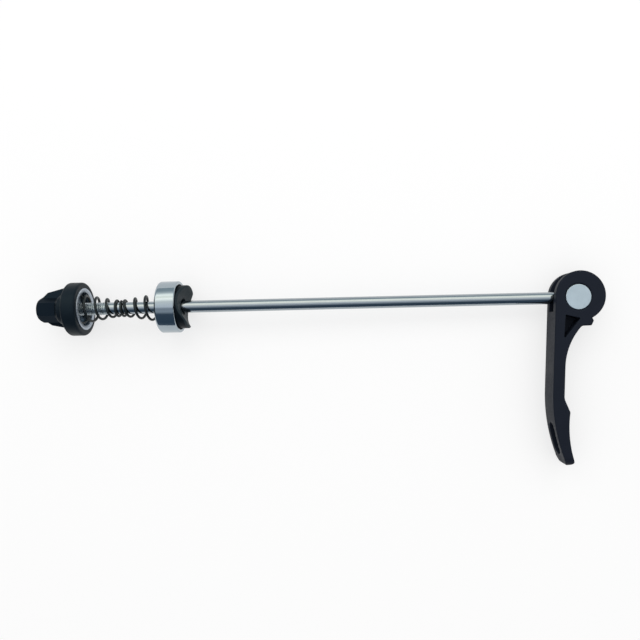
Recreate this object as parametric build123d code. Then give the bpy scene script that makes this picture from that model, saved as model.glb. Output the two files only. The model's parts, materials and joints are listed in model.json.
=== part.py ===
from build123d import *
import os
from math import cos, radians, sin, sqrt, tan

# Quick release skewer for a bicycle hub, lever open.
# The rod lies along X with the lever at its +X end and the nut at its -X end.
# The lever's pivot is parallel to Z, and the open lever's arm points along -Y.
# The origin is on the rod's axis, halfway along the bare shank.
# All sizes are in millimetres, and all angles in degrees.

# Places along the rod
pivot_x = 79.0
pivot_to_nut_face = 195.0
nut_to_cup_gap = 30.1

# Rod
rod_diameter = 4.8
thread_diameter = 5.0
thread_past_nut_face = 9.5
rod_end_in_nut = 3.8
rod_end_chamfer = 0.6

# Pivot barrel
barrel_diameter = 10.0
barrel_inset = 0.15
rod_end_in_barrel = 0.7

# Lever
lever_width = 12.6
lever_reach = 66.3
ear_radius = 9.8
cam_throw = 1.1
cam_lean = 30.0
slot_width = 5.5
slot_floor_drop = 5.4
pivot_clearance = 0.05
pivot_hole_chamfer = 0.45
arm_thickness = 4.6
arm_lean = 3.0
curl_start = 37.0
tip_offset = 5.9
tip_thickness = 3.3
tip_slant = 0.6
tip_corner = 4.0
shoulder_drop = 45.1
shoulder_thickness = 6.65
shoulder_run = 5.3
shoulder_round = 1.0
shoulder_foot_round = 4.0
thumb_hollow = 1.2
scoop_start = 27.3
heel_drop = 2.05
heel_inner_x = 1.2
heel_outer_x = 4.9
heel_side_x = 5.8
heel_side_drop = 0.15
heel_round = 0.6
heel_inner_round = 2.0
edge_chamfer = 0.4
pocket_rim = 3.3
pocket_back_wall = 3.6
pocket_scoop_wall = 1.4
pocket_top_slope = 1.4
pocket_drop = 16.4
pocket_web = 2.6
pocket_round = 0.3
recess_length = 13.0
recess_width = 6.4
recess_depth = 1.0
recess_drop = 55.8

# End cup
cup_diameter = 20.5
cup_length = 7.8
cup_hub_bevel = 0.9
cup_rim_wall = 1.25
cup_saddle_depth = 3.4
cup_bore = 6.6

# Cam saddle
saddle_clearance = 0.4
saddle_cam_clearance = 0.4
saddle_horn_height = 3.7
saddle_horn_flat = 1.5
saddle_turn = 18.0
saddle_edge_chamfer = 0.4

# Springs
spring_wire = 1.0
spring_narrow_bore = 5.2
spring_wide_diameter = 12.4
spring_seat_gap = 0.15
closed_turns = 1.0
open_turns = 3.5
wide_end_turns = 0.75
start_turn = 0.08
springs_meet_shift = -0.4
closed_pitch_gap = 0.06
points_per_turn = 12
wire_sides = 6

# Spring seats in the cup and in the nut
seat_bore = 13.4
cup_seat_depth = 2.4
nut_seat_depth = 3.4

# Nut insert
insert_diameter = 16.6
insert_proud = 0.3
insert_floor = 1.4
bush_diameter = 7.2
bush_length = 8.6
thread_clearance = 0.05

# Radial teeth that grip the frame, on the insert's rim
tooth_count = 22
tooth_depth = 0.35
tooth_width = 0.7
tooth_rim = 0.5

# Nut body
flange_diameter = 21.2
flange_length = 5.5
collar_base_diameter = 12.8
collar_end_diameter = 11.8
collar_length = 3.5
collar_end_bevel = 1.2
core_length = 12.1
core_sides = 6
core_corner_radius = 5.1
core_end_bevel = 0.9
nut_end_bore = 5.6
lug_count = 2
lug_turn = -12.0
lug_spacing = 128.0
lug_width = 3.8
lug_base_radius = 9.2
lug_end_radius = 6.6
lug_end_inset = 2.9
lug_end_slope = 1.9
lug_chamfer = 0.5

# Places that follow from the sizes above
nut_face_x = pivot_x - pivot_to_nut_face
cup_hub_x = nut_face_x + nut_to_cup_gap
cup_rim_x = cup_hub_x + cup_length
nut_seat_x = nut_face_x - nut_seat_depth
cup_seat_x = cup_hub_x + cup_seat_depth
saddle_seat_x = cup_rim_x - cup_saddle_depth
springs_meet_x = (nut_seat_x + cup_seat_x) / 2 + springs_meet_shift
body_face_x = nut_face_x - insert_proud
flange_back_x = body_face_x - flange_length
nut_end_x = flange_back_x - core_length
cam_x = cam_throw * cos(radians(cam_lean))
cam_y = cam_throw * sin(radians(cam_lean))


def turned(*outline):
    """A closed outline of (x, radius) points, as a face to be turned about X."""
    return make_face(Polyline(*outline, close=True))


def rounded(face, radius, *corners):
    """The face with the corner nearest to each given point rounded."""
    for corner in corners:
        face = fillet(face.vertices().sort_by_distance(corner)[0], radius)
    return face


def rod_bore(diameter, from_x, to_x):
    """A round hole on the rod's axis."""
    return Plane.YZ.offset(from_x) * extrude(Circle(diameter / 2), to_x - from_x)


def radial_teeth():
    """Grooves that leave teeth on the insert's rim, stopping short of its outer edge."""
    start_radius = seat_bore / 2 - tooth_width
    end_radius = insert_diameter / 2 - tooth_rim
    section = Polyline((0, -tooth_width / 2), (0, tooth_width / 2), (-tooth_depth, 0), close=True)
    start = Plane(origin=(nut_face_x, 0, start_radius), x_dir=(1, 0, 0), z_dir=(0, 0, 1))
    groove = extrude(start * make_face(section), end_radius - start_radius)
    return [Rot(X=360 * tooth / tooth_count) * groove for tooth in range(tooth_count)]


def skewer_rod():
    """Steel rod, a little thicker where it is threaded."""
    end_x = nut_end_x + rod_end_in_nut
    thread_end_x = nut_face_x + thread_past_nut_face
    barrel_end_x = pivot_x + barrel_diameter / 2 - rod_end_in_barrel
    shank_radius = rod_diameter / 2
    thread_radius = thread_diameter / 2
    outline = turned(
        (end_x, 0),
        (end_x, thread_radius - rod_end_chamfer),
        (end_x + rod_end_chamfer, thread_radius),
        (thread_end_x, thread_radius),
        (thread_end_x + thread_radius - shank_radius, shank_radius),
        (barrel_end_x, shank_radius),
        (barrel_end_x, 0),
    )
    return revolve(outline, Axis.X)


def pivot_barrel():
    """Cross pin that the lever turns on, with a hole for the rod's end."""
    half_length = lever_width / 2 - barrel_inset
    pin = extrude(Pos(pivot_x, 0) * Circle(barrel_diameter / 2), half_length, both=True)
    return pin - rod_bore(rod_diameter, pivot_x - barrel_diameter, pivot_x + barrel_diameter)


def lever_outline():
    """Side view of the lever about its pivot: the cam ear and the arm below it."""
    lean = tan(radians(arm_lean))
    ear_back_x = cam_x - ear_radius

    def back(drop):
        """The straight back face's point at a depth below the pivot."""
        return (ear_back_x - (drop + cam_y) * lean, -drop)

    def front(drop):
        """The arm's front face, one thickness from its back face."""
        return (back(drop)[0] + arm_thickness, -drop)

    tip_back = (-tip_offset, -lever_reach)
    tip_front = (tip_thickness - tip_offset, tip_slant - lever_reach)
    shoulder = (back(curl_start)[0] + shoulder_thickness, -shoulder_drop)
    hollow = (
        (tip_front[0] + shoulder[0]) / 2 - thumb_hollow,
        (tip_front[1] + shoulder[1]) / 2,
    )
    shoulder_foot = front(shoulder_drop - shoulder_run)
    scoop_foot = front(scoop_start)
    ear_foot_y = cam_y - ear_radius
    heel_inner = (heel_inner_x, ear_foot_y - heel_drop)
    heel_outer = (heel_outer_x, ear_foot_y - heel_drop)
    heel_side = (heel_side_x, ear_foot_y - heel_side_drop)
    ear_inside = (cam_x, cam_y)
    edges = [
        Line((ear_back_x, cam_y), back(curl_start)),
        TangentArc(back(curl_start), tip_back, tangent=(-lean, -1)),
        Line(tip_back, tip_front),
        ThreePointArc(tip_front, hollow, shoulder),
        Line(shoulder, shoulder_foot),
        Line(shoulder_foot, scoop_foot),
        TangentArc(scoop_foot, heel_inner, tangent=(lean, 1)),
        Polyline(heel_inner, heel_outer, heel_side, ear_inside),
        Line(ear_inside, (ear_back_x, cam_y)),
    ]
    arm = rounded(make_face(edges), shoulder_round, shoulder, tip_front, tip_back)
    arm = rounded(arm, shoulder_foot_round, shoulder_foot)
    arm = rounded(arm, heel_inner_round, heel_inner)
    arm = rounded(arm, heel_round, heel_outer, heel_side)
    return arm + Pos(cam_x, cam_y) * Circle(ear_radius)


def lever_plan():
    """The lever's width seen along the rod, with rounded corners at the tip."""
    length = lever_reach + 2 * ear_radius
    corner_y = tip_corner - lever_reach
    middle = Pos(length / 2 - lever_reach, 0) * Rectangle(length, lever_width)
    return Plane.YZ * rounded(middle, tip_corner, (corner_y, lever_width), (corner_y, -lever_width))


def pocket_outline():
    """Three-cornered pocket between the pivot, the back wall and the scoop."""
    rim_radius = barrel_diameter / 2 + pocket_rim
    back_x = cam_x - ear_radius + pocket_back_wall
    back_top = (back_x, pocket_top_slope - rim_radius)
    front_top = (heel_inner_x - pocket_scoop_wall / 2, -rim_radius)
    foot = (back_x - pocket_drop * tan(radians(arm_lean)), -pocket_drop)
    outline = Polyline(back_top, front_top, foot, close=True)
    return rounded(make_face(outline), pocket_round, back_top, front_top, foot)


def back_recess():
    """Shallow long recess in the curled back face, near the tip."""
    foot_x = cam_x - ear_radius - (curl_start + cam_y) * tan(radians(arm_lean))
    curl_run = lever_reach - curl_start
    share = (recess_drop - curl_start) / curl_run
    curl_bow = curl_run * tan(radians(arm_lean)) * share * (1 - share)
    curl_slope = (foot_x + tip_offset) / curl_run
    centre = (foot_x - curl_slope * share * curl_run - curl_bow, -recess_drop, 0)
    outward = (-1, curl_slope * 2 * share, 0)
    seat = Plane(origin=centre, x_dir=(0, 0, 1), z_dir=outward)
    slot = Rot(Z=90) * SlotOverall(recess_length, recess_width)
    return extrude(seat.offset(-recess_depth) * slot, arm_thickness)


def lever_cuts():
    """What is cut from the lever: rod slot, pivot hole, side pockets and back recess."""
    span = 2 * ear_radius
    slot_height = slot_floor_drop + 2 * span
    hole_radius = barrel_diameter / 2 + pivot_clearance
    slot = Pos(0, slot_height / 2 - slot_floor_drop, 0) * Box(2 * span, slot_height, slot_width)
    hole = extrude(Circle(hole_radius), lever_width, both=True)
    mouth = Pos(0, 0, (lever_width - pivot_hole_chamfer) / 2) * Cone(
        hole_radius, hole_radius + pivot_hole_chamfer, pivot_hole_chamfer
    )
    pocket = extrude(Pos(0, 0, pocket_web / 2) * pocket_outline(), lever_width)
    side_cuts = [mouth, pocket]
    return [slot, hole, back_recess(), *side_cuts, *(mirror(cut, Plane.XY) for cut in side_cuts)]


def lever():
    """One-piece lever: two eccentric ears either side of a slot, and the arm."""
    body = extrude(lever_outline(), lever_width / 2, both=True)
    body = chamfer(body.faces().filter_by(Axis.Z).edges(), edge_chamfer)
    body &= extrude(lever_plan(), lever_reach, both=True)
    body -= lever_cuts()
    return Pos(pivot_x, 0, 0) * body


def end_cup():
    """Metal cup: clamping face and spring seat to the hub, saddle pocket to the lever."""
    outer = cup_diameter / 2
    outline = turned(
        (cup_hub_x, seat_bore / 2),
        (cup_hub_x, outer - cup_hub_bevel),
        (cup_hub_x + cup_hub_bevel, outer),
        (cup_rim_x, outer),
        (cup_rim_x, outer - cup_rim_wall),
        (saddle_seat_x, outer - cup_rim_wall),
        (saddle_seat_x, cup_bore / 2),
        (cup_seat_x, cup_bore / 2),
        (cup_seat_x, seat_bore / 2),
    )
    return revolve(outline, Axis.X)


def cam_saddle():
    """Seat for the cam: a plug with a round hollow across it between two horns."""
    radius = cup_diameter / 2 - cup_rim_wall - saddle_clearance
    horn_x = cup_rim_x + saddle_horn_height
    hollow_radius = ear_radius + saddle_cam_clearance
    hollow_half = radius - saddle_horn_flat
    hollow_x = horn_x + sqrt(hollow_radius**2 - hollow_half**2)
    plug = rod_bore(2 * radius, saddle_seat_x, horn_x)
    horn_edge = plug.edges().filter_by(GeomType.CIRCLE).sort_by(Axis.X)[-1]
    plug = chamfer(horn_edge, saddle_edge_chamfer)
    hollow = extrude(Pos(hollow_x, 0) * Circle(hollow_radius), 2 * radius, both=True)
    saddle = plug - hollow - rod_bore(cup_bore, saddle_seat_x, horn_x)
    return Rot(X=-saddle_turn) * saddle


def conical_spring(seat_x, side):
    """Conical spring from the middle of the pair to its seat, right-handed.

    side is -1 for the spring towards the nut and 1 for the one towards the lever.
    """
    narrow = (spring_narrow_bore + spring_wire) / 2
    wide = (spring_wide_diameter - spring_wire) / 2
    closed_pitch = spring_wire + closed_pitch_gap
    start_x = springs_meet_x + side * (spring_seat_gap + spring_wire) / 2
    end_x = seat_x - side * (spring_seat_gap + spring_wire / 2)
    turns = closed_turns + open_turns + wide_end_turns
    spread = abs(end_x - start_x) - closed_pitch * (closed_turns + wide_end_turns)
    points = []
    for step in range(round(turns * points_per_turn) + 1):
        turn = step / points_per_turn
        opened = min(max(turn - closed_turns, 0), open_turns) / open_turns
        rise = spread * opened + closed_pitch * (turn - opened * open_turns)
        coil_radius = narrow + (wide - narrow) * opened
        angle = radians(side * 360 * (turn + start_turn))
        points.append((start_x + side * rise, coil_radius * cos(angle), coil_radius * sin(angle)))
    path = Polyline(*points)
    section = Plane(origin=path @ 0, z_dir=path % 0) * RegularPolygon(spring_wire / 2, wire_sides)
    return sweep(section, path, transition=Transition.RIGHT)


def nut_insert():
    """Steel cup with a toothed rim, a spring seat and a threaded bush behind it."""
    outer = insert_diameter / 2
    floor_back_x = nut_seat_x - insert_floor
    bush_end_x = nut_seat_x - bush_length
    hole = thread_diameter / 2 + thread_clearance
    outline = turned(
        (nut_face_x, seat_bore / 2),
        (nut_face_x, outer),
        (floor_back_x, outer),
        (floor_back_x, bush_diameter / 2),
        (bush_end_x, bush_diameter / 2),
        (bush_end_x, hole),
        (nut_seat_x, hole),
        (nut_seat_x, seat_bore / 2),
    )
    return revolve(outline, Axis.X) - radial_teeth()


def finger_lug():
    """One lug along the nut's core, sloping up to the flange, with broken edges."""
    lug_end_x = nut_end_x + lug_end_inset
    core_flat = core_corner_radius * cos(radians(180 / core_sides))
    outline = Polyline(
        (flange_back_x, 0),
        (flange_back_x, lug_base_radius),
        (lug_end_x, lug_end_radius),
        (lug_end_x - lug_end_slope, core_flat),
        (lug_end_x - lug_end_slope, 0),
        close=True,
    )
    lug = extrude(make_face(outline), lug_width / 2, both=True)
    side_edges = lug.faces().filter_by(Axis.Z).edges()
    outer_edges = side_edges.filter_by(lambda edge: edge.center().Y > core_corner_radius)
    return chamfer(outer_edges.filter_by(lambda edge: edge.center().X < flange_back_x), lug_chamfer)


def nut_core():
    """Six-sided core with a corner at +Y, its end bevelled round."""
    length = flange_back_x - nut_end_x
    end_radius = core_corner_radius - core_end_bevel
    core = extrude(Plane.YZ.offset(nut_end_x) * RegularPolygon(core_corner_radius, core_sides), length)
    bevel = turned(
        (nut_end_x, 0), (nut_end_x, end_radius), (flange_back_x, end_radius + length), (flange_back_x, 0)
    )
    return core & revolve(bevel, Axis.X)


def nut_body():
    """Black nut around the insert: a round flange, a collar and a six-sided core with finger lugs."""
    flange = flange_diameter / 2
    floor_back_x = nut_seat_x - insert_floor
    bush_end_x = nut_seat_x - bush_length
    collar_end_x = flange_back_x - collar_length - collar_end_bevel
    flange_outline = turned(
        (body_face_x, 0),
        (body_face_x, flange),
        (flange_back_x, flange),
        (flange_back_x, collar_base_diameter / 2),
        (flange_back_x - collar_length, collar_end_diameter / 2),
        (collar_end_x, collar_end_diameter / 2 - collar_end_bevel),
        (collar_end_x, 0),
    )
    body = revolve(flange_outline, Axis.X) + nut_core()
    for number in range(lug_count):
        body += Rot(X=lug_turn - lug_spacing * number) * finger_lug()
    return body - [
        rod_bore(insert_diameter, floor_back_x, body_face_x),
        rod_bore(bush_diameter, bush_end_x, floor_back_x),
        rod_bore(nut_end_bore, nut_end_x, bush_end_x),
    ]


pieces = {
    "skewer_rod": skewer_rod(),
    "pivot_barrel": pivot_barrel(),
    "lever": lever(),
    "end_cup": end_cup(),
    "cam_saddle": cam_saddle(),
    "lever_side_spring": conical_spring(cup_seat_x, 1),
    "nut_side_spring": conical_spring(nut_seat_x, -1),
    "nut_insert": nut_insert(),
    "nut_body": nut_body(),
}

os.makedirs("parts", exist_ok=True)
for name, piece in pieces.items():
    export_step(piece, f"parts/{name}.step")
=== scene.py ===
"""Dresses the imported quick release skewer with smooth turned, wound and moulded surfaces.

Every surface is worked out in millimetres in the CAD frame: the rod lies along X with the lever
at +X, the open lever's arm points along -Y, and the lever's pivot stands along Z.
"""

import json
import logging
import math
from dataclasses import dataclass
from enum import Enum
from typing import Any

import bmesh
import bpy
import numpy as np
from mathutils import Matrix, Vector

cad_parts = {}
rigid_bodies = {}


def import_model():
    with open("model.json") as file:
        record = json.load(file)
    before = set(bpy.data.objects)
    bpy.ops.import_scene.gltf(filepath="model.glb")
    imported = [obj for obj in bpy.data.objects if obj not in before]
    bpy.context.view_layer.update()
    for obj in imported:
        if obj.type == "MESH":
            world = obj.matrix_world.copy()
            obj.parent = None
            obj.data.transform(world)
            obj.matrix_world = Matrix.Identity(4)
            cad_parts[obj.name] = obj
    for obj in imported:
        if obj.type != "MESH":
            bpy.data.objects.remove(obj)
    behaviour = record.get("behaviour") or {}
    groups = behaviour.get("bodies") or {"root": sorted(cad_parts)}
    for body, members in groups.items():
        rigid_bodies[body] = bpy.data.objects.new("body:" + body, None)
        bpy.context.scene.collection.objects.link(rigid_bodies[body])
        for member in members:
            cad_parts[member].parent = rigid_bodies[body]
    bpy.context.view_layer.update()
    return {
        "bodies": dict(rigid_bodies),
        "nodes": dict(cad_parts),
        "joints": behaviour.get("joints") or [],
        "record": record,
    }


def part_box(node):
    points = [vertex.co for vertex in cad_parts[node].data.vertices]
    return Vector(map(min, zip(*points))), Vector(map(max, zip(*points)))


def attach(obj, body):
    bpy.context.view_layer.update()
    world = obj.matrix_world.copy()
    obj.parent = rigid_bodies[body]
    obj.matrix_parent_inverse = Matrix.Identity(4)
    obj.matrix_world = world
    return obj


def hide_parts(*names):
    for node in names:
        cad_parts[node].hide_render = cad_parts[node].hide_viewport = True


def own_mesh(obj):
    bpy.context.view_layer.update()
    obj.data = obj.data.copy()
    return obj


MM = 0.001
FULL_TURN = 2 * math.pi
LOG = logging.getLogger("skewer")

# Points closer than this, in metres, become one: on a new surface, and on a copy of CAD triangles.
SURFACE_MERGE_M = 1e-7
COPY_MERGE_M = 1e-6
# How near to a radius a face counts as lying on it, in millimetres.
ON_RADIUS = 0.01
# Points on the arc that rounds one corner of a section.
ARC_POINTS = 7
# Edges of a new surface that turn more than this stay sharp.
SHARP_DEGREES = 40.0
# Least sine and cosine to divide by, so that radii stay finite all the way round.
LEAST_SINE = 1e-3
LEAST_COSINE = 0.1

WHITE = (1.0, 1.0, 1.0, 1.0)
# The sockets of a Mix node that mixes colours.
MIX_SHARE, MIX_FIRST, MIX_SECOND, MIX_RESULT = 0, 6, 7, 2
# The noise of the fine marks and of the broad blotches.
MARK_NOISE = {"Detail": 2.0, "Roughness": 0.6}
BLOTCH_NOISE = {"Detail": 4.0, "Roughness": 0.55}
# Over this span the product of the two noises goes from the smoothest to the roughest stretch.
WEAR_SPAN = {"From Min": 0.12, "From Max": 0.4}
# Shrinks the rod's own direction, which draws marks out into long lines.
LINE_SQUEEZE = (0.01, 1.0, 1.0)


class Marks(Enum):
    """Which way the fine marks of a finish run."""

    RINGS_ROUND_ROD = "rings round the rod's axis"
    RINGS_ROUND_PIVOT = "rings round the lever's pivot"
    LENGTHWISE = "lines along the rod"
    GRAIN = "even grain"


def linear_colour(code: str) -> tuple[float, float, float, float]:
    """Turns an sRGB hex colour into linear RGBA.

    The sRGB curve is a straight line near black, and above it a power of 2.4.

    Args:
        code: Six hex digits after a hash sign.

    Returns:
        Red, green, blue and an alpha of one.
    """
    channels = np.array([int(code[start:start + 2], 16) for start in (1, 3, 5)]) / 255
    linear = np.where(channels <= 0.04045, channels / 12.92, ((channels + 0.055) / 1.055) ** 2.4)
    return (*linear.tolist(), 1.0)


def empty_tree(owner: bpy.types.Material | bpy.types.World) -> bpy.types.NodeTree:
    """Turns on the nodes of a material or a world and clears them.

    Args:
        owner: The material or the world.

    Returns:
        Its empty node tree.
    """
    owner.use_nodes = True
    owner.node_tree.nodes.clear()
    return owner.node_tree


def add_node(
    tree: bpy.types.NodeTree,
    kind: str,
    settings: dict[Any, Any] | None = None,
    links: dict[Any, bpy.types.NodeSocket | bpy.types.Node] | None = None,
) -> bpy.types.Node:
    """Adds one node, sets it up and links its inputs.

    Args:
        tree: The node tree to add to.
        kind: Blender's name for the kind of node.
        settings: Values by input name, input number or property name.
        links: Output sockets, or nodes for their first output, by the input's name or number.

    Returns:
        The new node.
    """
    node = tree.nodes.new(kind)
    for key, value in (settings or {}).items():
        if isinstance(key, int) or key in node.inputs:
            node.inputs[key].default_value = value
        else:
            setattr(node, key, value)
    for key, source in (links or {}).items():
        socket = source.outputs[0] if isinstance(source, bpy.types.Node) else source
        tree.links.new(socket, node.inputs[key])
    return node


def add_object(name: str, data: bpy.types.ID) -> bpy.types.Object:
    """Adds an object to the scene.

    Args:
        name: The object's name.
        data: Its mesh, light or camera.

    Returns:
        The new object, at the origin.
    """
    added = bpy.data.objects.new(name, data)
    bpy.context.scene.collection.objects.link(added)
    return added


@dataclass(frozen=True)
class Places:
    """Where the CAD pieces sit along the rod, in millimetres, read from the frame."""

    pivot_x: float
    nut_end_x: float
    nut_body_face_x: float
    nut_face_x: float
    insert_end_x: float
    cup_hub_x: float
    cup_rim_x: float
    saddle_seat_x: float
    saddle_horn_x: float
    rod_nut_end_x: float
    rod_barrel_end_x: float
    nut_spring_x: tuple[float, float]
    cup_spring_x: tuple[float, float]
    nut_travel: float

    @classmethod
    def from_frame(cls, frame: dict[str, Any]) -> "Places":
        """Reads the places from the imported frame.


        Returns:
            The places in millimetres.
        """
        joints = {joint["name"]: joint for joint in frame["joints"]}

        def span(node: str) -> tuple[float, float]:
            """A node's lowest and highest X."""
            low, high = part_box(node)
            return (low.x / MM, high.x / MM)

        nut, insert, cup = span("nut_body"), span("nut_insert"), span("end_cup")
        saddle, rod = span("cam_saddle"), span("skewer_rod")
        return cls(
            pivot_x=joints["lever_pivot"]["pos_m"][0] / MM,
            nut_end_x=nut[0],
            nut_body_face_x=nut[1],
            nut_face_x=insert[1],
            insert_end_x=insert[0],
            cup_hub_x=cup[0],
            cup_rim_x=cup[1],
            saddle_seat_x=saddle[0],
            saddle_horn_x=saddle[1],
            rod_nut_end_x=rod[0],
            rod_barrel_end_x=rod[1],
            nut_spring_x=span("nut_side_spring"),
            cup_spring_x=span("lever_side_spring"),
            nut_travel=joints["nut_travel"]["range_m"][1] / MM,
        )


def eased_line(corners: list[tuple[float, float, float]]) -> np.ndarray:
    """Rounds the corners of a closed line in the plane.

    Each corner becomes a circular arc, drawn as a rational quadratic curve between the two points
    at the ease's distance either side of it. Its middle weight is the cosine of half the turn.

    Args:
        corners: (x, radius, ease) for each corner, in millimetres.

    Returns:
        The line's points, one (x, radius) row each, and ARC_POINTS of them for each corner.
    """
    given = np.array(corners, float)
    point, ease = given[:, :2], given[:, 2:]
    before = np.roll(point, 1, axis=0) - point
    after = np.roll(point, -1, axis=0) - point
    before /= np.linalg.norm(before, axis=1, keepdims=True)
    after /= np.linalg.norm(after, axis=1, keepdims=True)
    weight = np.sqrt((1 - np.sum(before * after, axis=1, keepdims=True)) / 2)
    t = np.linspace(0, 1, ARC_POINTS)[:, None, None]
    first, middle, last = (1 - t) ** 2, 2 * t * (1 - t) * weight, t**2
    arc = first * (point + before * ease) + middle * point + last * (point + after * ease)
    return (arc / (first + middle + last)).transpose(1, 0, 2).reshape(-1, 2)


def angles_round(columns: int) -> np.ndarray:
    """Even angles once round, with the last one a step short of the first."""
    return np.linspace(0, FULL_TURN, columns, endpoint=False)


def turned_points(x: np.ndarray, radius: np.ndarray, columns: int) -> np.ndarray:
    """Carries a line round the rod's axis: y is radius times cosine, z is radius times sine.

    Args:
        x: Place along the rod, one per row, or a row and column grid.
        radius: Distance from the axis, in the same form.
        columns: Points round the axis.

    Returns:
        A (rows, columns, 3) grid of points.
    """
    angle = angles_round(columns)
    x = x if x.ndim == 2 else x[:, None]
    radius = radius if radius.ndim == 2 else radius[:, None]
    grid = np.broadcast_arrays(x, radius * np.cos(angle), radius * np.sin(angle))
    return np.stack(grid, axis=-1)


def shade(mesh: bpy.types.Mesh, sharp_degrees: float) -> None:
    """Shades a mesh smooth, apart from edges sharper than an angle.

    Args:
        mesh: The mesh to shade.
        sharp_degrees: Edges that turn more than this stay sharp.
    """
    mesh.polygons.foreach_set("use_smooth", np.ones(len(mesh.polygons), bool))
    mesh.set_sharp_from_angle(angle=math.radians(sharp_degrees))
    mesh.update()


def surface_mesh(name: str, points: np.ndarray, closed_rows: bool) -> bpy.types.Mesh:
    """Makes a smooth closed mesh from a grid of points whose columns close on themselves.

    Args:
        name: The mesh's name.
        points: A (rows, columns, 3) grid in millimetres.
        closed_rows: Whether the last row joins the first.

    Returns:
        The mesh in metres, with poles and seams merged and faces pointing outwards.
    """
    rows, columns = points.shape[:2]
    index = np.arange(rows * columns).reshape(rows, columns)
    index = np.hstack([index, index[:, :1]])
    if closed_rows:
        index = np.vstack([index, index[:1]])
    quads = np.stack([index[:-1, :-1], index[1:, :-1], index[1:, 1:], index[:-1, 1:]], axis=-1)
    quads = quads.reshape(-1, 4)
    mesh = bpy.data.meshes.new(name)
    mesh.vertices.add(rows * columns)
    mesh.vertices.foreach_set("co", (points * MM).astype(np.float32).ravel())
    mesh.loops.add(quads.size)
    mesh.loops.foreach_set("vertex_index", quads.astype(np.int32).ravel())
    mesh.polygons.add(len(quads))
    mesh.polygons.foreach_set("loop_start", np.arange(len(quads), dtype=np.int32) * 4)
    mesh.update(calc_edges=True)
    work = bmesh.new()
    work.from_mesh(mesh)
    bmesh.ops.remove_doubles(work, verts=work.verts, dist=SURFACE_MERGE_M)
    bmesh.ops.recalc_face_normals(work, faces=work.faces)
    work.to_mesh(mesh)
    work.free()
    shade(mesh, SHARP_DEGREES)
    return mesh


def soft_largest(first: np.ndarray, second: np.ndarray, blend: float) -> np.ndarray:
    """The larger of two heights, with a fillet about as wide as blend where they cross."""
    return (first + second + np.sqrt((first - second) ** 2 + blend**2)) / 2


def soft_smallest(first: np.ndarray, second: np.ndarray, blend: float) -> np.ndarray:
    """The smaller of two heights, with a rounded edge about as wide as blend where they cross."""
    return -soft_largest(-first, -second, blend)


@dataclass(frozen=True)
class Finish:
    """A surface finish: the material's colours, gloss and fine marks.

    Colours are sRGB, lengths are millimetres, and each roughness pair is the smoothest and the
    roughest stretch of the surface.
    """

    name: str
    colour: str
    shade: str
    roughness: tuple[float, float]
    marks: Marks
    mark_width: float
    mark_depth: float
    blotch_width: float
    metallic: float = 1.0
    specular: float = 0.5
    gloss_tint: str = "#ffffff"

    def material(self, places: Places) -> bpy.types.Material:
        """Builds the finish as a node material.

        Args:
            places: Where the pieces sit, for marks that run round an axis.

        Returns:
            The material.
        """
        material = bpy.data.materials.new(self.name)
        tree = empty_tree(material)
        spot = add_node(tree, "ShaderNodeTexCoord").outputs["Object"]
        way = self.mark_vector(tree, spot, places)
        fine = {"Scale": 1 / (self.mark_width * MM), **MARK_NOISE}
        marks = add_node(tree, "ShaderNodeTexNoise", fine, {"Vector": way})
        broad = {"Scale": 1 / (self.blotch_width * MM), **BLOTCH_NOISE}
        blotches = add_node(tree, "ShaderNodeTexNoise", broad, {"Vector": spot})
        colours = {MIX_FIRST: linear_colour(self.colour), MIX_SECOND: linear_colour(self.shade)}
        colour = add_node(
            tree, "ShaderNodeMix", {"data_type": "RGBA", **colours}, {MIX_SHARE: blotches}
        )
        worn = add_node(tree, "ShaderNodeMath", {"operation": "MULTIPLY"}, {0: blotches, 1: marks})
        wear = {**WEAR_SPAN, "To Min": self.roughness[0], "To Max": self.roughness[1]}
        roughness = add_node(tree, "ShaderNodeMapRange", wear, {"Value": worn})
        dents = {"Distance": self.mark_depth * MM}
        bump = add_node(tree, "ShaderNodeBump", dents, {"Height": marks})
        shader = add_node(
            tree,
            "ShaderNodeBsdfPrincipled",
            {
                "Metallic": self.metallic,
                "Specular IOR Level": self.specular,
                "Specular Tint": linear_colour(self.gloss_tint),
            },
            {"Base Color": colour.outputs[MIX_RESULT], "Roughness": roughness, "Normal": bump},
        )
        add_node(tree, "ShaderNodeOutputMaterial", None, {"Surface": shader})
        return material

    def mark_vector(
        self, tree: bpy.types.NodeTree, spot: bpy.types.NodeSocket, places: Places
    ) -> bpy.types.NodeSocket:
        """Lays the marks' noise along the surface the way the tool ran.

        Rings use place along the axis and distance from it, so that they circle both the turned
        walls and the flat faces. Lengthwise lines shrink the rod's own direction.

        Args:
            tree: The material's node tree.
            spot: The Object coordinate.
            places: Where the pieces sit.

        Returns:
            The socket with the noise's coordinates.
        """
        if self.marks is Marks.GRAIN:
            return spot
        if self.marks is Marks.LENGTHWISE:
            squeeze = {"Scale": LINE_SQUEEZE}
            return add_node(tree, "ShaderNodeMapping", squeeze, {"Vector": spot}).outputs[0]
        settings = {}
        if self.marks is Marks.RINGS_ROUND_PIVOT:
            settings = {"Location": (0, 0, places.pivot_x * MM), "Rotation": (0, math.pi / 2, 0)}
        centred = add_node(tree, "ShaderNodeMapping", settings, {"Vector": spot})
        parts = add_node(tree, "ShaderNodeSeparateXYZ", None, {0: centred}).outputs
        across = add_node(tree, "ShaderNodeCombineXYZ", None, {1: parts[1], 2: parts[2]})
        distance = add_node(tree, "ShaderNodeVectorMath", {"operation": "LENGTH"}, {0: across})
        rings = {0: parts[0], 1: distance.outputs["Value"]}
        return add_node(tree, "ShaderNodeCombineXYZ", None, rings).outputs[0]


# Drawn steel, ground and polished lengthwise: long bright bands with hair-fine lines.
ROD_STEEL = Finish(
    "polished_drawn_steel", colour="#9fa7ac", shade="#969fa5",
    roughness=(0.10, 0.20), marks=Marks.LENGTHWISE, mark_width=0.12, mark_depth=0.001,
    blotch_width=9.0,
)
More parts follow.
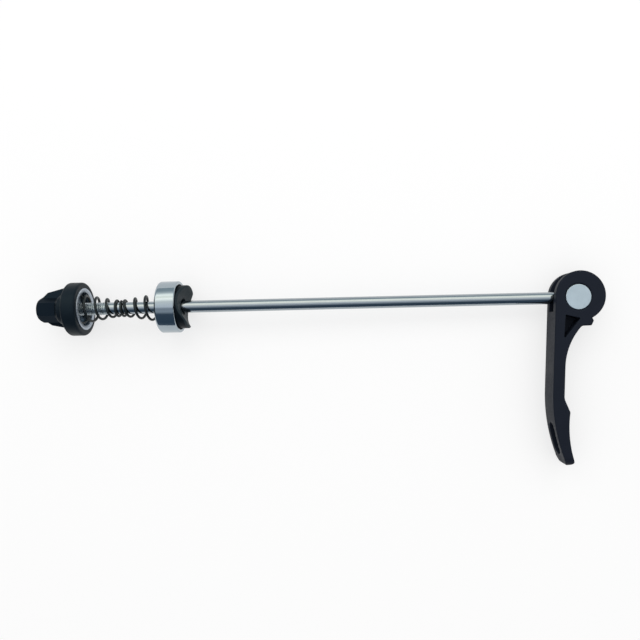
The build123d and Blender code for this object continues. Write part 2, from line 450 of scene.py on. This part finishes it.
# The same steel after the thread was rolled into it: duller, with soft lights on the crests.
THREAD_STEEL = Finish(
    "rolled_thread_steel", colour="#bac4c8", shade="#acb6bb",
    roughness=(0.28, 0.40), marks=Marks.RINGS_ROUND_ROD, mark_width=0.12, mark_depth=0.001,
    blotch_width=3.0,
)
# Steel turned on a lathe and left satin: a flat face with faint circles.
BARREL_STEEL = Finish(
    "satin_turned_steel", colour="#bccbd4", shade="#b2c0ca",
    roughness=(0.42, 0.54), marks=Marks.RINGS_ROUND_PIVOT, mark_width=0.18, mark_depth=0.002,
    blotch_width=4.0,
)
# Chromed steel: sharp reflections over very faint polishing rings.
CUP_CHROME = Finish(
    "chromed_steel", colour="#a3aeb5", shade="#9ba6ae",
    roughness=(0.06, 0.13), marks=Marks.RINGS_ROUND_ROD, mark_width=0.15, mark_depth=0.0006,
    blotch_width=7.0,
)
# Zinc-plated steel: a bluish, soft satin metal with turning rings.
INSERT_STEEL = Finish(
    "zinc_plated_steel", colour="#c0c8d1", shade="#a6afba",
    roughness=(0.44, 0.56), marks=Marks.RINGS_ROUND_ROD, mark_width=0.20, mark_depth=0.002,
    blotch_width=2.5,
)
# The insert's steel in the spring's seat: a dull bluish metal, painted darker than the rim as shade
# of the hollow.
SEAT_SHADE_STEEL = Finish(
    "greased_dark_steel", colour="#a9bac8", shade="#8b9caa",
    roughness=(0.38, 0.52), marks=Marks.RINGS_ROUND_ROD, mark_width=0.20, mark_depth=0.002,
    blotch_width=1.5,
)
# Die-cast aluminium under a black stoved coat: an even skin with a faint orange peel.
LEVER_COAT = Finish(
    "black_stoved_coat", colour="#171c25", shade="#1c212c", metallic=0.0,
    roughness=(0.40, 0.54), marks=Marks.GRAIN, mark_width=0.9, mark_depth=0.012,
    blotch_width=11.0, specular=0.06,
)
# Black anodised aluminium, machined smooth: a deep black that stays dark where it is seen edge on.
NUT_ANODISED = Finish(
    "black_anodised_aluminium", colour="#121b24", shade="#172129", metallic=0.75,
    roughness=(0.34, 0.48), marks=Marks.RINGS_ROUND_ROD, mark_width=0.25, mark_depth=0.002,
    blotch_width=6.0, specular=0.10, gloss_tint="#babdc1",
)
# The same aluminium blasted before it was anodised: matt and greyer, on the flange and the collar.
FLANGE_BLASTED = Finish(
    "blasted_anodised_aluminium", colour="#09121b", shade="#0f1922", metallic=0.0,
    roughness=(0.40, 0.54), marks=Marks.GRAIN, mark_width=0.25, mark_depth=0.004,
    blotch_width=6.0, specular=0.16, gloss_tint="#c4e2ea",
)
# Moulded nylon: dark grey and matt with a fine spark-eroded grain.
SADDLE_NYLON = Finish(
    "moulded_nylon", colour="#1c272d", shade="#232f35", metallic=0.0,
    roughness=(0.46, 0.60), marks=Marks.GRAIN, mark_width=0.30, mark_depth=0.010,
    blotch_width=4.0, specular=0.12,
)
# The same nylon painted near black on the wall that slides into the cup: painted shade of the gap
# in the cup.
WALL_SHADE_NYLON = Finish(
    "greased_nylon", colour="#0a1117", shade="#10191f", metallic=0.0,
    roughness=(0.30, 0.46), marks=Marks.GRAIN, mark_width=0.30, mark_depth=0.006,
    blotch_width=2.0, specular=0.06,
)
# Spring wire with a black oxide coat: dark, with a dull metal gloss.
SPRING_OXIDE = Finish(
    "black_oxide_wire", colour="#141b1d", shade="#202a2d", metallic=0.5,
    roughness=(0.34, 0.48), marks=Marks.GRAIN, mark_width=0.40, mark_depth=0.004,
    blotch_width=3.0,
)


@dataclass(frozen=True)
class Standing:
    """Which CAD node a piece stands for, and the body and material slot that go with it."""

    node: str
    body: str
    slot: str

    def put(self, mesh: bpy.types.Mesh, finish: Finish, places: Places) -> bpy.types.Object:
        """Adds the mesh as a finished piece that rides on its body in place of the node.

        Args:
            mesh: The piece's mesh, already in place.
            finish: The finish to give it.
            places: Where the pieces sit.

        Returns:
            The new object.
        """
        mesh.materials.clear()
        mesh.materials.append(finish.material(places))
        piece = add_object(mesh.name, mesh)
        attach(piece, self.body)
        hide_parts(self.node)
        faces = len(mesh.polygons)
        LOG.info("%s stands for %s on body %s: %d faces", piece.name, self.node, self.body, faces)
        return piece


def face_places(mesh: bpy.types.Mesh) -> tuple[np.ndarray, np.ndarray]:
    """Finds where a mesh's faces lie.

    Args:
        mesh: The mesh, in metres.

    Returns:
        Each face's place along the rod and its distance from the rod's axis, in millimetres.
    """
    centre = np.empty(3 * len(mesh.polygons))
    mesh.polygons.foreach_get("center", centre)
    x, y, z = centre.reshape(-1, 3).T / MM
    return x, np.hypot(y, z)


def second_finish(
    mesh: bpy.types.Mesh, chosen: np.ndarray, finish: Finish, places: Places
) -> None:
    """Gives the chosen faces of a finished piece another finish.

    Args:
        mesh: The piece's mesh, which already has its main finish.
        chosen: Whether each face takes the second finish.
        finish: The second finish.
        places: Where the pieces sit.
    """
    mesh.materials.append(finish.material(places))
    mesh.polygons.foreach_set("material_index", chosen.astype(np.int32))


@dataclass
class SkewerRod:
    """The long steel rod with its rolled thread at the nut's end."""

    shank_radius: float = 2.4
    thread_radius: float = 2.5
    thread_depth: float = 0.42
    pitch: float = 0.8
    crest_share: float = 0.25
    thread_past_nut: float = 9.5
    end_chamfer: float = 0.6
    columns: int = 72
    rows_per_pitch: int = 12
    stands_for: Standing = Standing("skewer_rod", "rod", "rod_steel")

    def thread_drop(self, x: np.ndarray, places: Places) -> np.ndarray:
        """How far the thread's groove goes below its crest.

        The groove is a vee wound right-handed: its phase is place along the rod over the pitch,
        less the turn round the axis. It fades out over one pitch at each end.

        Args:
            x: Place along the rod, one per row.
            places: Where the pieces sit.

        Returns:
            A (rows, columns) grid of depths.
        """
        turn = np.linspace(0, 1, self.columns, endpoint=False)
        phase = (x[:, None] / self.pitch - turn) % 1
        vee = 1 - np.abs(2 * phase - 1)
        groove = np.clip((vee - self.crest_share) / (1 - 2 * self.crest_share), 0, 1)
        start = places.rod_nut_end_x + self.end_chamfer
        end = places.nut_face_x + self.thread_past_nut
        fade_x = [start - self.pitch / 2, start + self.pitch / 2, end - self.pitch, end]
        fade = np.interp(x, fade_x, [0, 1, 1, 0])
        return self.thread_depth * groove * fade[:, None]

    def build(self, places: Places) -> bpy.types.Object:
        """Builds the rod as one turned surface with the thread cut into it.

        Args:
            places: Where the pieces sit.

        Returns:
            The rod's object.
        """
        start, end = places.rod_nut_end_x, places.rod_barrel_end_x
        thread_end = places.nut_face_x + self.thread_past_nut
        shank = thread_end + self.pitch / 2
        knots = np.array([
            (start, self.thread_radius - self.end_chamfer),
            (start + self.end_chamfer, self.thread_radius), (thread_end, self.thread_radius),
            (shank, self.shank_radius), (end, self.shank_radius),
        ])
        rows = round((thread_end - start) / self.pitch * self.rows_per_pitch)
        along = np.concatenate([np.linspace(start, shank, rows), [end]])
        radius = np.interp(along, *knots.T)[:, None] - self.thread_drop(along, places)
        closing = np.zeros((1, self.columns))
        radius = np.vstack([closing, radius, closing])
        x = np.concatenate([[start], along, [end]])
        mesh = surface_mesh("rod", turned_points(x, radius, self.columns), closed_rows=False)
        piece = self.stands_for.put(mesh, ROD_STEEL, places)
        second_finish(mesh, face_places(mesh)[0] < thread_end, THREAD_STEEL, places)
        return piece


@dataclass
class SoftenedCopy:
    """A copy of a CAD piece whose edges are rounded, for shapes that CAD already has right."""

    name: str
    finish: Finish
    stands_for: Standing
    edge_round: float
    segments: int = 3
    flat_degrees: float = 0.3
    edge_degrees: float = 24.0

    def build(self, places: Places) -> bpy.types.Object:
        """Merges a copy of the node's triangles into clean faces and rounds its edges.

        Args:
            places: Where the pieces sit.

        Returns:
            The piece's object.
        """
        mesh = bpy.data.objects[self.stands_for.node].data.copy()
        mesh.name = self.name
        work = bmesh.new()
        work.from_mesh(mesh)
        bmesh.ops.remove_doubles(work, verts=work.verts, dist=COPY_MERGE_M)
        bmesh.ops.dissolve_limit(
            work, angle_limit=math.radians(self.flat_degrees), verts=work.verts, edges=work.edges
        )
        work.to_mesh(mesh)
        work.free()
        shade(mesh, self.edge_degrees)
        piece = self.stands_for.put(mesh, self.finish, places)
        bevel = piece.modifiers.new("rounded_edges", "BEVEL")
        bevel.width = self.edge_round * MM
        bevel.segments = self.segments
        bevel.limit_method = "ANGLE"
        bevel.angle_limit = math.radians(self.edge_degrees)
        bevel.use_clamp_overlap = False
        bevel.harden_normals = True
        return piece


@dataclass(frozen=True)
class Teeth:
    """Radial vee teeth on a ring's flat face."""

    count: int
    depth: float
    span: tuple[float, float]
    fade: float = 0.2

    def press(self, line: np.ndarray, face_x: float, inward: float, columns: int) -> np.ndarray:
        """Moves the face's points inwards by a triangle wave round the axis.

        The wave goes from a tooth's crest to the bottom of its vee and back, once for each tooth.
        It works on the rows near the face and fades out at the outer radius.

        Args:
            line: The section's (x, radius) rows.
            face_x: Where the face lies.
            inward: Which way along X is into the piece, -1 or 1.
            columns: Points round the axis.

        Returns:
            The x of each row and column.
        """
        turn = np.linspace(0, 1, columns, endpoint=False)
        wave = 1 - np.abs(2 * (turn * self.count % 1) - 1)
        on_face = np.clip(1 - np.abs(line[:, 0] - face_x) / self.depth, 0, 1)
        kept = np.interp(line[:, 1], [self.span[1] - self.fade, self.span[1]], [1, 0])
        return line[:, :1] + inward * self.depth * np.outer(on_face * kept, wave)


@dataclass
class EndCup:
    """The chromed cup: saddle pocket to the lever, toothed face and spring seat to the hub."""

    radius: float = 10.25
    hub_edge: float = 1.1
    rim_edge: float = 0.5
    lip_edge: float = 0.3
    wall: float = 1.25
    bore_radius: float = 3.3
    seat_radius: float = 6.7
    seat_depth: float = 2.4
    inner_edge: float = 0.15
    teeth: Teeth = Teeth(count=60, depth=0.28, span=(7.0, 8.7))
    columns: int = 480
    stands_for: Standing = Standing("end_cup", "cup", "cup_chrome")

    def build(self, places: Places) -> bpy.types.Object:
        """Turns the cup's rounded section, then presses the teeth into its hub face.

        Args:
            places: Where the pieces sit.

        Returns:
            The cup's object.
        """
        hub, rim, pocket = places.cup_hub_x, places.cup_rim_x, places.saddle_seat_x
        seat, edge = hub + self.seat_depth, self.inner_edge
        low, high = self.teeth.span
        line = eased_line([
            (hub, self.seat_radius, edge), (hub, low, 0), (hub, high, 0),
            (hub, self.radius, self.hub_edge),
            (rim, self.radius, self.rim_edge), (rim, self.radius - self.wall, self.lip_edge),
            (pocket, self.radius - self.wall, edge), (pocket, self.bore_radius, edge),
            (seat, self.bore_radius, edge), (seat, self.seat_radius, edge),
        ])
        x = self.teeth.press(line, hub, inward=1.0, columns=self.columns)
        mesh = surface_mesh("cup", turned_points(x, line[:, 1], self.columns), closed_rows=True)
        return self.stands_for.put(mesh, CUP_CHROME, places)


@dataclass
class CamSaddle:
    """The dark nylon seat in the cup, hollowed across for the lever's round ears."""

    radius: float = 8.6
    bore_radius: float = 3.3
    hollow_radius: float = 10.2
    horn_flat: float = 1.5
    turn_degrees: float = 18.0
    edge: float = 0.8
    blend: float = 0.4
    columns: int = 240
    rows: int = 28
    edge_rows: int = 6
    stands_for: Standing = Standing("cam_saddle", "cup", "saddle_plastic")

    def top(self, radius: np.ndarray, angle: np.ndarray, places: Places) -> np.ndarray:
        """Height of the saddle's top: a round hollow between two flat-topped horns.

        The hollow is a cylinder across the saddle, so its height depends only on the distance
        along the line through the horns, and the horns' flat tops cut it off.

        Args:
            radius: Distance from the rod's axis.
            angle: Angle round it from +Y towards +Z.
            places: Where the pieces sit.

        Returns:
            The x of the top.
        """
        half = self.radius - self.horn_flat
        centre = places.saddle_horn_x + math.sqrt(self.hollow_radius**2 - half**2)
        along = radius * np.cos(angle + math.radians(self.turn_degrees))
        hollow = centre - np.sqrt(self.hollow_radius**2 - along**2)
        return soft_smallest(hollow, np.full_like(hollow, places.saddle_horn_x), self.blend)

    def build(self, places: Places) -> bpy.types.Object:
        """Builds the saddle as a closed section carried round the axis.

        Going round the section: the seat, the outer wall, a rounded rim, the top, and the bore.

        Args:
            places: Where the pieces sit.

        Returns:
            The saddle's object.
        """
        bend = np.linspace(0, math.pi / 2, self.edge_rows)
        rim = self.radius - self.edge + self.edge * np.cos(bend)
        inner = np.linspace(self.radius - self.edge, self.bore_radius, self.rows)[1:]
        seat = np.array([self.bore_radius, self.radius])
        radius = np.concatenate([seat, rim, inner])
        below = np.concatenate([0 * seat, self.edge * (1 - np.sin(bend)), 0 * inner])
        x = self.top(radius[:, None], angles_round(self.columns), places) - below[:, None]
        x[:len(seat)] = places.saddle_seat_x
        mesh = surface_mesh("saddle", turned_points(x, radius, self.columns), closed_rows=True)
        piece = self.stands_for.put(mesh, SADDLE_NYLON, places)
        # The outer wall takes near-black nylon: painted shade of the gap between cup and saddle.
        second_finish(mesh, face_places(mesh)[1] > self.radius - ON_RADIUS, WALL_SHADE_NYLON, places)
        return piece


@dataclass
class ConicalSpring:
    """One of the pair of conical springs, wound right-handed from its narrow end to its seat.

    The side is 1 where the seat lies towards +X and -1 where it lies towards -X.
    """

    name: str
    side: int
    stands_for: Standing
    wire: float = 1.0
    narrow_bore: float = 5.2
    wide_diameter: float = 12.4
    closed_turns: float = 1.0
    open_turns: float = 3.5
    wide_turns: float = 0.75
    start_turn: float = 0.08
    closed_pitch: float = 1.06
    points_per_turn: int = 64
    sides: int = 16

    def path(self, narrow_x: float, wide_x: float) -> np.ndarray:
        """The wire's middle line: a helix whose radius and pitch grow over the open turns.

        Args:
            narrow_x: The wire's middle at the narrow end.
            wide_x: The wire's middle at the seat.

        Returns:
            The line's points.
        """
        turns = self.closed_turns + self.open_turns + self.wide_turns
        turn = np.linspace(0, turns, round(turns * self.points_per_turn))
        opened = np.clip((turn - self.closed_turns) / self.open_turns, 0, 1)
        spread = abs(wide_x - narrow_x) - self.closed_pitch * (self.closed_turns + self.wide_turns)
        rise = spread * opened + self.closed_pitch * (turn - opened * self.open_turns)
        narrow, wide = (self.narrow_bore + self.wire) / 2, (self.wide_diameter - self.wire) / 2
        radius = narrow + (wide - narrow) * opened
        angle = self.side * FULL_TURN * (turn + self.start_turn)
        x = narrow_x + self.side * rise
        return np.stack([x, radius * np.cos(angle), radius * np.sin(angle)], axis=-1)

    def build(self, places: Places) -> bpy.types.Object:
        """Carries the wire's round section along the helix and gives the piece a mesh of its own.

        At each point the section stands square to the line: one direction points away from the
        rod's axis, the other is square to that and to the line.

        Args:
            places: Where the pieces sit.

        Returns:
            The spring's object.
        """
        low, high = places.cup_spring_x if self.side > 0 else places.nut_spring_x
        half = self.wire / 2
        ends = (low + half, high - half) if self.side > 0 else (high - half, low + half)
        line = self.path(*ends)
        ahead = np.gradient(line, axis=0)
        ahead /= np.linalg.norm(ahead, axis=1, keepdims=True)
        outward = line * [0, 1, 1]
        outward -= ahead * np.sum(outward * ahead, axis=1, keepdims=True)
        outward /= np.linalg.norm(outward, axis=1, keepdims=True)
        beside = np.cross(ahead, outward)
        angle = angles_round(self.sides)[None, :, None]
        ring = half * (outward[:, None] * np.cos(angle) + beside[:, None] * np.sin(angle))
        # A ring of no width closes each end.
        ring = np.pad(ring, ((1, 1), (0, 0), (0, 0)))
        middle = np.pad(line, ((1, 1), (0, 0)), mode="edge")[:, None]
        mesh = surface_mesh(self.name, middle + ring, closed_rows=False)
        piece = self.stands_for.put(mesh, SPRING_OXIDE, places)
        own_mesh(piece)
        return piece


@dataclass
class NutInsert:
    """The plated steel cup in the nut's face, with a toothed rim and a bush for the thread."""

    radius: float = 8.3
    seat_radius: float = 6.7
    seat_depth: float = 3.4
    floor: float = 1.4
    bush_radius: float = 3.6
    hole_radius: float = 2.55
    edge: float = 0.15
    teeth: Teeth = Teeth(count=60, depth=0.3, span=(6.9, 7.9))
    columns: int = 480
    stands_for: Standing = Standing("nut_insert", "nut", "insert_steel")

    def build(self, places: Places) -> bpy.types.Object:
        """Turns the insert's section, presses teeth into its rim and paints shade into its seat.

        Args:
            places: Where the pieces sit.

        Returns:
            The insert's object.
        """
        face, end = places.nut_face_x, places.insert_end_x
        seat, edge = face - self.seat_depth, self.edge
        back = seat - self.floor
        low, high = self.teeth.span
        line = eased_line([
            (face, self.seat_radius, edge), (face, low, 0), (face, high, 0),
            (face, self.radius, edge), (back, self.radius, edge), (back, self.bush_radius, edge),
            (end, self.bush_radius, edge), (end, self.hole_radius, edge),
            (seat, self.hole_radius, edge), (seat, self.seat_radius, edge),
        ])
        x = self.teeth.press(line, face, inward=-1.0, columns=self.columns)
        mesh = surface_mesh("insert", turned_points(x, line[:, 1], self.columns), closed_rows=True)
        piece = self.stands_for.put(mesh, INSERT_STEEL, places)
        # The seat's faces take a darker steel: painted shade of the hollow.
        in_seat = face_places(mesh)[1] < self.seat_radius + ON_RADIUS
        second_finish(mesh, in_seat, SEAT_SHADE_STEEL, places)
        return piece


@dataclass
class NutBody:
    """The black nut: a round flange, a collar and a six-sided core with two finger lugs.

    Past its own end the collar drops to nothing over collar_fall, and a lug over lug_fall. The
    core's first and last rows lie row_inset inside its ends.
    """

    flange_radius: float = 10.598
    flange_length: float = 5.5
    flange_edge: float = 0.8
    insert_radius: float = 8.3
    floor_depth: float = 4.5
    bush_radius: float = 3.6
    bore_radius: float = 2.8
    bore_chamfer: float = 0.2
    small_edge: float = 0.1
    collar_radius: tuple[float, float] = (6.4, 5.9)
    collar_length: float = 3.5
    collar_bevel: float = 1.2
    collar_fall: float = 0.05
    core_corner: float = 5.1
    core_sides: int = 6
    end_bevel: float = 0.9
    lug_degrees: tuple[float, float] = (-12.0, -140.0)
    lug_width: float = 3.8
    lug_radius: tuple[float, float] = (9.2, 6.6)
    lug_end_inset: float = 2.9
    lug_end_slope: float = 1.9
    lug_fall: float = 0.5
    blend: float = 0.35
    columns: int = 540
    core_rows: int = 56
    row_inset: float = 0.02
    stands_for: Standing = Standing("nut_body", "nut", "nut_black")

    def core_radius(self, x: np.ndarray, places: Places) -> np.ndarray:
        """Outer radius of the nut behind its flange.

        A straight side at distance d is at d over the cosine of the angle from its middle, which
        gives the six sides. A lug's flat flank, half a width from its middle line, is at that half
        width over the sine of the angle from that line. The largest of core, collar and lugs shows.

        Args:
            x: Place along the rod, one per row.
            places: Where the pieces sit.

        Returns:
            A (rows, columns) grid of radii.
        """
        angle = angles_round(self.columns)[None, :]
        x = x[:, None]
        back = places.nut_body_face_x - self.flange_length
        end = places.nut_end_x
        side = FULL_TURN / self.core_sides
        apothem = self.core_corner * math.cos(side / 2)
        core = apothem / np.cos(angle % side - side / 2)
        core = soft_smallest(core, self.core_corner - self.end_bevel + x - end, self.blend / 2)
        step = back - self.collar_length
        foot = step - self.collar_bevel
        foot_radius = self.collar_radius[1] - self.collar_bevel
        collar_x = [foot - self.collar_fall, foot, step, back]
        collar = np.interp(x, collar_x, [0, foot_radius, *self.collar_radius[::-1]])
        lugs = np.radians(self.lug_degrees)[:, None]
        away = np.abs((angle - lugs + math.pi) % FULL_TURN - math.pi).min(axis=0, keepdims=True)
        lug_end = end + self.lug_end_inset
        lug_foot = lug_end - self.lug_end_slope
        lug_x = [lug_foot - self.lug_fall, lug_foot, lug_end, back]
        crest = np.interp(x, lug_x, [0, apothem, *self.lug_radius[::-1]])
        flank = self.lug_width / 2 / np.maximum(np.sin(away), LEAST_SINE)
        lug = soft_smallest(crest / np.maximum(np.cos(away), LEAST_COSINE), flank, self.blend)
        return soft_largest(soft_largest(core, collar, self.blend / 2), lug, self.blend)

    def build(self, places: Places) -> bpy.types.Object:
        """Builds the nut as one closed section carried round the axis.

        Going round the section: the bore for the insert, the rounded flange, the collar and core
        with the lugs, the end face and the stepped bore.

        Args:
            places: Where the pieces sit.

        Returns:
            The nut's object.
        """
        face, end, bush = places.nut_body_face_x, places.nut_end_x, places.insert_end_x
        back = face - self.flange_length
        floor, edge = face - self.floor_depth, self.flange_edge
        # The core starts in place of the last corner, so that corner's arc is left out.
        line = eased_line([
            (face, self.insert_radius, self.small_edge), (face, self.flange_radius, edge),
            (back, self.flange_radius, edge), (back, self.insert_radius, self.small_edge),
        ])[:-ARC_POINTS]
        core_x = np.linspace(back - self.row_inset, end + self.row_inset, self.core_rows)
        core_x = np.append(core_x, end)
        core = self.core_radius(core_x, places)
        core[-1] -= self.small_edge
        bore, chamfer = self.bore_radius, self.bore_chamfer
        inside = np.array([
            (end, bore + chamfer), (end + chamfer, bore), (bush, bore), (bush, self.bush_radius),
            (floor, self.bush_radius), (floor, self.insert_radius),
        ])
        x = np.concatenate([line[:, 0], core_x, inside[:, 0]])
        even = np.ones(self.columns)
        radius = np.vstack([np.outer(line[:, 1], even), core, np.outer(inside[:, 1], even)])
        mesh = surface_mesh("nut", turned_points(x, radius, self.columns), closed_rows=True)
        piece = self.stands_for.put(mesh, NUT_ANODISED, places)
        along, away = face_places(mesh)
        flange = along > back - self.row_inset
        collar_foot = back - self.collar_length - self.collar_bevel
        collar = (along > collar_foot) & (away < self.collar_radius[0])
        second_finish(mesh, flange | collar, FLANGE_BLASTED, places)
        return piece


# The tent's strips, as shares of the way from the -Y horizon over the top to the +Y horizon.
TENT_STRIPS = (
    # Dark cloth on the side that the lever's arm points to.
    (0.00, "#3e4954"), (0.08, "#2c3945"), (0.31, "#323e4a"),
    # A grey strip, then pale cloth over the top.
    (0.37, "#7a8188"), (0.45, "#757b83"), (0.49, "#aeb1b6"), (0.62, "#c2c2be"),
    # Two white lights with a narrow gap between them.
    (0.69, "#fffaee"), (0.735, "#e0ddd0"), (0.79, "#f8f5ea"),
    # Grey cloth down to the other horizon.
    (0.85, "#a8adac"), (0.91, "#7e888c"), (1.00, "#788286"),
)


@dataclass(frozen=True)
class Studio:
    """The floor, the light and the camera of the photograph.

    The object lies with its flange and its lever on the floor, so the floor leans a little in the
    object's own frame.
    """

    picture_px: float = 640.0
    focal_px: float = 643.0
    centre_px: tuple[float, float] = (364.7, 337.1)
    sensor_mm: float = 36.0
    camera_mm: tuple[float, float, float] = (-4.9, -13.8, 257.0)
    roll_degrees: float = 1.34
    clip_m: tuple[float, float] = (0.01, 20.0)
    floor_half_m: float = 3.0
    floor_colour: str = "#fafafa"
    fill_strength: float = 0.85
    glow_share: float = 0.65
    tent_radius_m: float = 0.7
    tent_half_m: float = 1.2
    tent_degrees: float = 95.0
    tent_points: int = 65
    strip_strength: float = 2.3
    end_colour: str = "#24282c"
    box_distance_m: float = 0.55
    box_lean_degrees: float = 42.0
    box_size_m: tuple[float, float] = (0.9, 0.30)
    box_watts: float = 1.0

    def build(self) -> None:
        """Adds the floor, the surroundings, the softbox and the camera."""
        self.floor()
        self.surroundings()
        self.tent()
        self.softbox()
        self.camera()
        bpy.context.scene.view_settings.view_transform = "Standard"

    def floor(self) -> None:
        """Lays the floor through the nut's lowest rim and the lever's lowest edge."""
        nut_low, nut_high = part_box("nut_body")
        lever_low, lever_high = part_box("lever")
        slope = (lever_low.z - nut_low.z) / (lever_high.x - nut_high.x)
        side = np.array([-self.floor_half_m, self.floor_half_m])
        x, y = (grid.ravel() for grid in np.meshgrid(side, side))
        corners = np.stack([x, y, nut_low.z + slope * (x - nut_high.x)], axis=-1)
        mesh = bpy.data.meshes.new("floor")
        mesh.from_pydata(corners.tolist(), [], [(0, 1, 3, 2)])
        mesh.materials.append(self.floor_material())
        floor = add_object("floor", mesh)

    @staticmethod
    def seen_ray(tree: bpy.types.NodeTree) -> bpy.types.NodeSocket:
        """Tells rays that show the background, by camera, gloss or glass, from those that light.

        Args:
            tree: The node tree to add to.

        Returns:
            A socket that is one for those rays and zero for the rest.
        """
        path = add_node(tree, "ShaderNodeLightPath").outputs
        seen = path["Is Camera Ray"]
        for name in ("Is Glossy Ray", "Is Transmission Ray"):
            either = {0: seen, 1: path[name]}
            seen = add_node(tree, "ShaderNodeMath", {"operation": "MAXIMUM"}, either).outputs[0]
        return seen

    def floor_material(self) -> bpy.types.Material:
        """White paper: matt, and lifted to a white backdrop's brightness where it is seen.

        Returns:
            The floor's material.
        """
        material = bpy.data.materials.new("white_paper")
        tree = empty_tree(material)
        colour = linear_colour(self.floor_colour)
        paper = add_node(tree, "ShaderNodeBsdfDiffuse", {"Color": colour})
        glow = add_node(tree, "ShaderNodeEmission", {"Color": WHITE, "Strength": 1.0})
        part = {"operation": "MULTIPLY", 1: self.glow_share}
        share = add_node(tree, "ShaderNodeMath", part, {0: self.seen_ray(tree)})
        whole = add_node(tree, "ShaderNodeMixShader", None, {0: share, 1: paper, 2: glow})
        add_node(tree, "ShaderNodeOutputMaterial", None, {"Surface": whole})
        return material

    def surroundings(self) -> None:
        """A white room: plain white where camera, metal or glass sees it, and softer as a light."""
        world = bpy.data.worlds.new("studio")
        bpy.context.scene.world = world
        tree = empty_tree(world)
        fill, white = (
            add_node(tree, "ShaderNodeBackground", {"Color": WHITE, "Strength": strength})
            for strength in (self.fill_strength, 1.0)
        )
        seen = self.seen_ray(tree)
        whole = add_node(tree, "ShaderNodeMixShader", None, {0: seen, 1: fill, 2: white})
        add_node(tree, "ShaderNodeOutputWorld", None, {"Surface": whole})

    def tent(self) -> None:
        """Arches a tent of strips over the rod, with dark ends, which only gloss mirrors.

        The arch is a circle about the rod's axis, from one horizon over the top to the other.
        """
        reach = math.radians(self.tent_degrees)
        angle = np.linspace(-reach, reach, self.tent_points)
        arch = self.tent_radius_m * np.stack([0 * angle, np.sin(angle), np.cos(angle)], axis=-1)
        ends = np.array([[-self.tent_half_m, 0, 0], [self.tent_half_m, 0, 0]])
        first = np.arange(len(angle) - 1) * 2
        faces = np.stack([first, first + 1, first + 3, first + 2], axis=-1).tolist()
        faces += [list(range(end, 2 * len(angle), 2)) for end in (0, 1)]
        mesh = bpy.data.meshes.new("tent")
        mesh.from_pydata((arch[:, None] + ends).reshape(-1, 3).tolist(), [], faces)
        mesh.materials.append(self.tent_material())
        mesh.materials.append(self.end_material())
        is_end = np.arange(len(faces)) >= len(first)
        mesh.polygons.foreach_set("material_index", is_end.astype(np.int32))
        tent = add_object("tent", mesh)
        tent.visible_camera = tent.visible_diffuse = tent.visible_shadow = False

    def tent_material(self) -> bpy.types.Material:
        """Lit cloth strips along the rod: a ramp over the angle from straight up towards +Y.

        Returns:
            The tent's material.
        """
        material = bpy.data.materials.new("strip_lights")
        tree = empty_tree(material)
        spot = add_node(tree, "ShaderNodeTexCoord").outputs["Object"]
        parts = add_node(tree, "ShaderNodeSeparateXYZ", None, {0: spot}).outputs
        sides = {0: parts[1], 1: parts[2]}
        angle = add_node(tree, "ShaderNodeMath", {"operation": "ARCTAN2"}, sides)
        horizons = {"From Min": -math.pi / 2, "From Max": math.pi / 2}
        place = add_node(tree, "ShaderNodeMapRange", horizons, {"Value": angle})
        ramp = add_node(tree, "ShaderNodeValToRGB", None, {0: place})
        stops = ramp.color_ramp.elements
        while len(stops) < len(TENT_STRIPS):
            stops.new(1.0)
        for stop, (position, code) in zip(stops, TENT_STRIPS):
            stop.position = position
            stop.color = linear_colour(code)
        light = {"Strength": self.strip_strength}
        glow = add_node(tree, "ShaderNodeEmission", light, {"Color": ramp})
        add_node(tree, "ShaderNodeOutputMaterial", None, {"Surface": glow})
        return material

    def end_material(self) -> bpy.types.Material:
        """Dark cloth across the tent's ends, so that edges turned along the rod stay dark.

        Returns:
            The ends' material.
        """
        material = bpy.data.materials.new("dark_cloth")
        tree = empty_tree(material)
        cloth = {"Color": linear_colour(self.end_colour), "Strength": 1.0}
        glow = add_node(tree, "ShaderNodeEmission", cloth)
        add_node(tree, "ShaderNodeOutputMaterial", None, {"Surface": glow})
        return material

    def softbox(self) -> None:
        """Hangs a long softbox on the +Y side, above the rod and along it."""
        lean = math.radians(self.box_lean_degrees)
        light = bpy.data.lights.new("softbox", "AREA")
        light.shape = "RECTANGLE"
        light.size, light.size_y = self.box_size_m
        light.energy = self.box_watts
        box = add_object("softbox", light)
        box.location = self.box_distance_m * Vector((0, math.sin(lean), math.cos(lean)))
        box.rotation_euler = (-lean, 0, 0)
        box.visible_glossy = False

    def camera(self) -> None:
        """Sets the camera straight above the object, framed as the photograph."""
        data = bpy.data.cameras.new("camera")
        data.sensor_width = self.sensor_mm
        data.lens = self.focal_px / self.picture_px * self.sensor_mm
        data.shift_x = 0.5 - self.centre_px[0] / self.picture_px
        data.shift_y = self.centre_px[1] / self.picture_px - 0.5
        data.clip_start, data.clip_end = self.clip_m
        camera = add_object("camera", data)
        camera.location = Vector(self.camera_mm) * MM
        camera.rotation_euler = (0, 0, -math.radians(self.roll_degrees))
        bpy.context.scene.camera = camera


def main() -> None:
    """Loads the frame, builds each piece in order and sets up the studio."""
    logging.basicConfig(level=logging.INFO, format="%(message)s")
    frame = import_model()
    places = Places.from_frame(frame)
    barrel = Standing("pivot_barrel", "rod", "barrel_steel")
    lever = Standing("lever", "lever", "lever_black")
    cup_spring = Standing("lever_side_spring", "cup_carriage", "spring_black")
    nut_spring = Standing("nut_side_spring", "nut_carriage", "spring_black")
    builders = [
        SkewerRod(),
        SoftenedCopy("barrel", BARREL_STEEL, barrel, edge_round=0.25),
        SoftenedCopy("lever_arm", LEVER_COAT, lever, edge_round=0.22),
        EndCup(),
        CamSaddle(),
        ConicalSpring("cup_spring", side=1, stands_for=cup_spring),
        ConicalSpring("nut_spring", side=-1, stands_for=nut_spring),
        NutInsert(),
        NutBody(),
    ]
    for builder in builders:
        builder.build(places)
    Studio().build()


if __name__ == "__main__":
    main()
